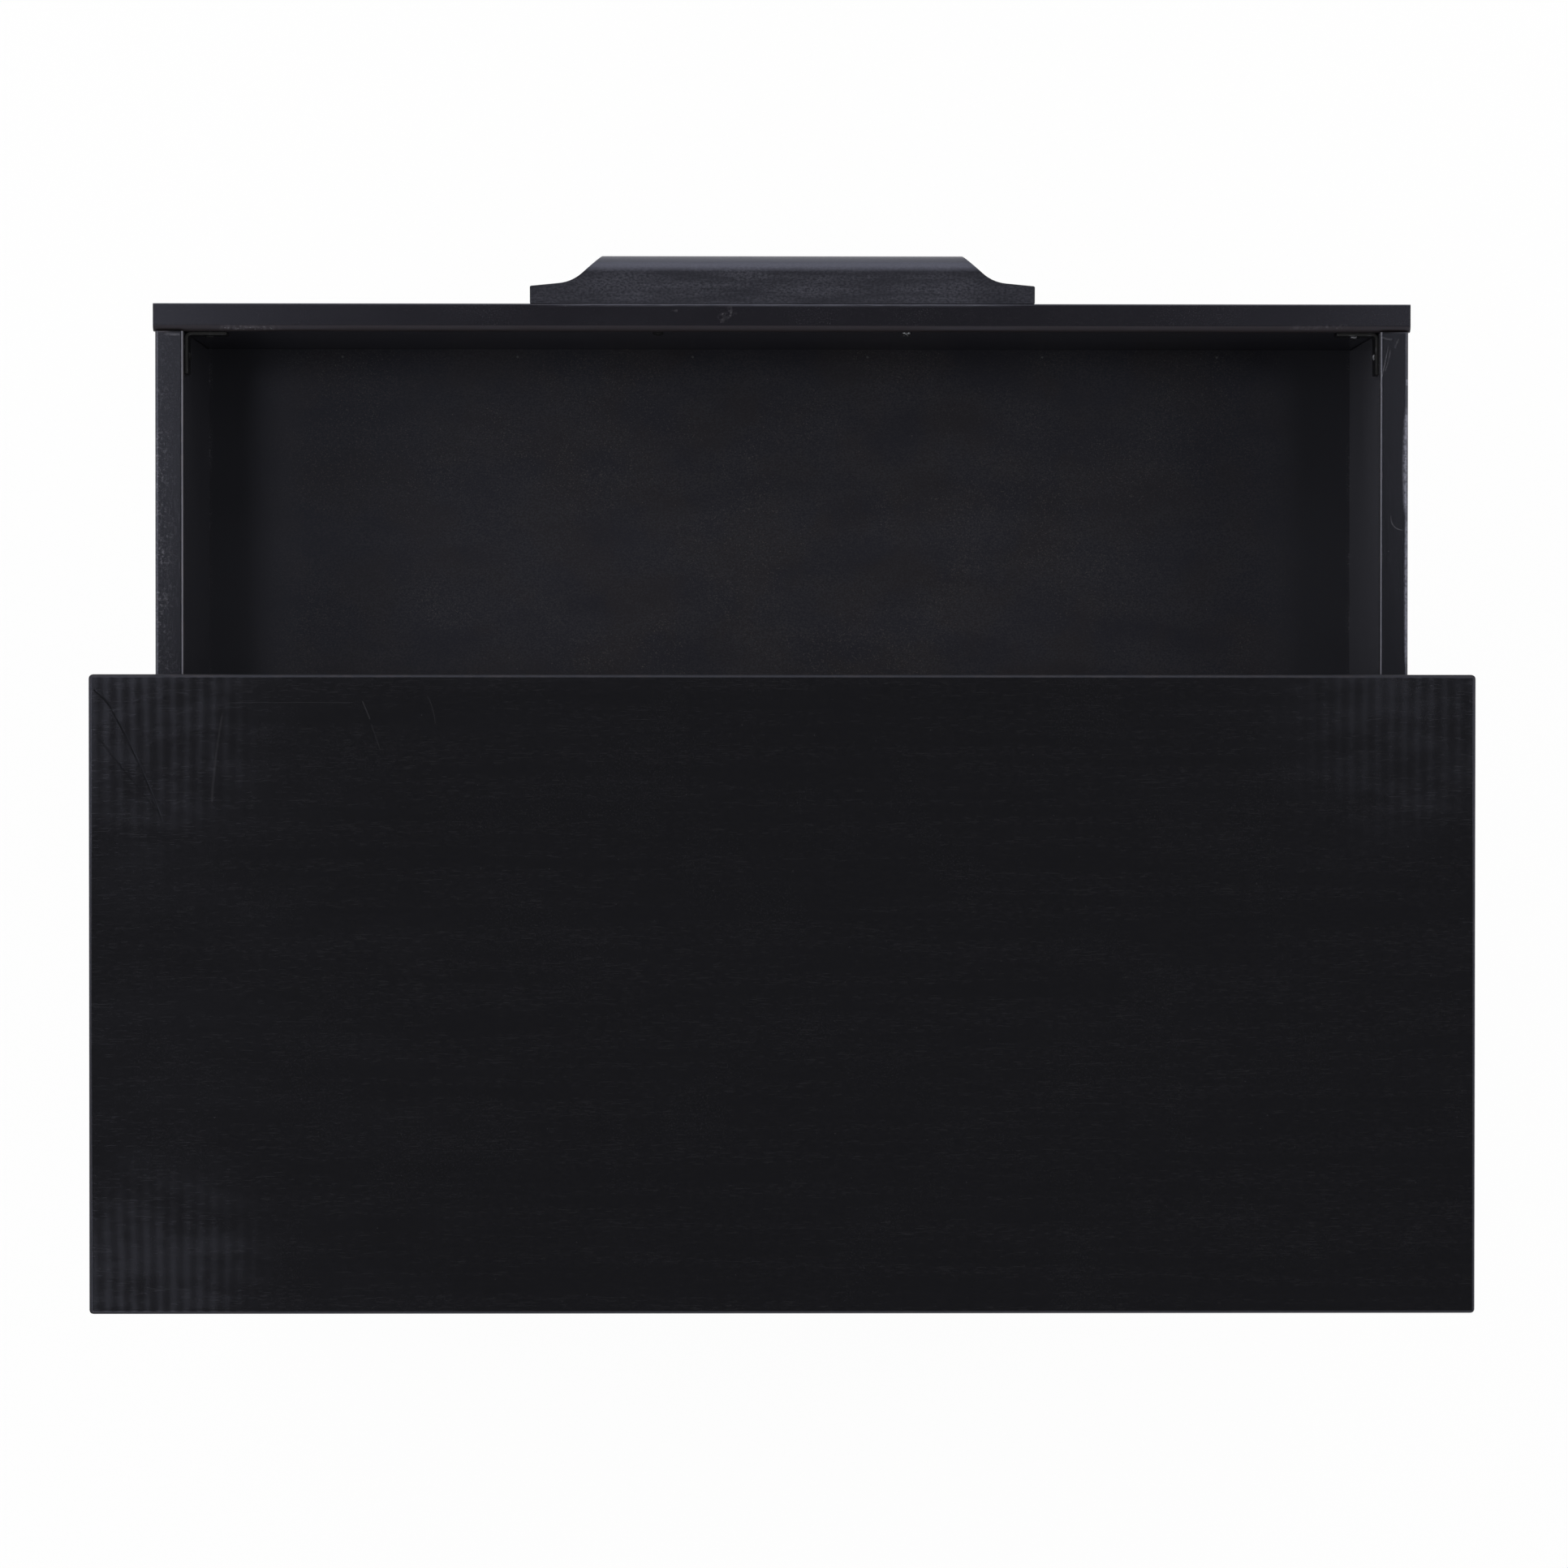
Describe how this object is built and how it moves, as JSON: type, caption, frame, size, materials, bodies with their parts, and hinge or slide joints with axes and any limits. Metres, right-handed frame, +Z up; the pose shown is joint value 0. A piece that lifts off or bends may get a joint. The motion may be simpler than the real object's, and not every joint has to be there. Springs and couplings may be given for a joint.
{
  "type": "rattan drawer cabinet",
  "caption": "Black wooden cabinet with drawers that slide out on wooden runners, woven cane in the drawer fronts and shaped wooden pulls.",
  "frame": {"origin": "on the floor, under the middle of the whole piece's bounding box with the top drawer pulled out", "axes": "+X along the width to the viewer's right when facing the drawers, +Y from front to back, +Z up"},
  "size_m": [0.813, 0.6244, 0.76],
  "materials": {
    "black_wood": "black satin paint over fine-grained wood",
    "bare_wood": "unpainted reddish hardwood",
    "woven_cane": "natural woven cane, lightly varnished",
    "cane_spline": "natural reed",
    "black_steel": "black enamel on stamped steel",
    "screw_steel": "zinc-plated steel",
    "glide_nylon": "black nylon"
  },
  "bodies": {
    "case": {"top_panel": "black_wood", "leg_front_left": "black_wood", "leg_front_right": "black_wood", "leg_rear_left": "black_wood", "leg_rear_right": "black_wood", "side_panel_left": "black_wood", "side_panel_right": "black_wood", "side_top_rail_left": "black_wood", "side_top_rail_right": "black_wood", "side_bottom_rail_left": "black_wood", "side_bottom_rail_right": "black_wood", "back_panel": "black_wood", "back_top_rail": "black_wood", "back_bottom_rail": "black_wood", "front_top_rail": "black_wood", "divider_rail_upper": "black_wood", "divider_rail_lower": "black_wood", "front_bottom_rail": "black_wood", "runner_1_left": "bare_wood", "runner_1_right": "bare_wood", "runner_2_left": "bare_wood", "runner_2_right": "bare_wood", "runner_3_left": "bare_wood", "runner_3_right": "bare_wood", "kicker_left": "bare_wood", "kicker_right": "bare_wood", "leg_glides": "glide_nylon", "case_screws": "screw_steel"},
    "drawer_1": {"drawer_1_front": "black_wood", "drawer_1_cane": "woven_cane", "drawer_1_spline": "cane_spline", "drawer_1_side_left": "black_wood", "drawer_1_side_right": "black_wood", "drawer_1_back": "black_wood", "drawer_1_bottom": "black_wood", "drawer_1_pull": "black_wood", "drawer_1_brackets": "black_steel", "drawer_1_screws": "screw_steel"},
    "drawer_2": {"drawer_2_front": "black_wood", "drawer_2_cane": "woven_cane", "drawer_2_spline": "cane_spline", "drawer_2_side_left": "black_wood", "drawer_2_side_right": "black_wood", "drawer_2_back": "black_wood", "drawer_2_bottom": "black_wood", "drawer_2_pull": "black_wood", "drawer_2_brackets": "black_steel", "drawer_2_screws": "screw_steel"},
    "drawer_3": {"drawer_3_front": "black_wood", "drawer_3_cane": "woven_cane", "drawer_3_spline": "cane_spline", "drawer_3_side_left": "black_wood", "drawer_3_side_right": "black_wood", "drawer_3_back": "black_wood", "drawer_3_bottom": "black_wood", "drawer_3_pull": "black_wood", "drawer_3_brackets": "black_steel", "drawer_3_screws": "screw_steel"}
  },
  "joints": [
    {"name": "drawer_1_slide", "type": "slide", "parent": "case", "child": "drawer_1", "axis": [0, -1, 0], "range_m": [-0.2255, 0.0545]},
    {"name": "drawer_2_slide", "type": "slide", "parent": "case", "child": "drawer_2", "axis": [0, -1, 0], "range_m": [0, 0.28]},
    {"name": "drawer_3_slide", "type": "slide", "parent": "case", "child": "drawer_3", "axis": [0, -1, 0], "range_m": [0, 0.28]}
  ]
}
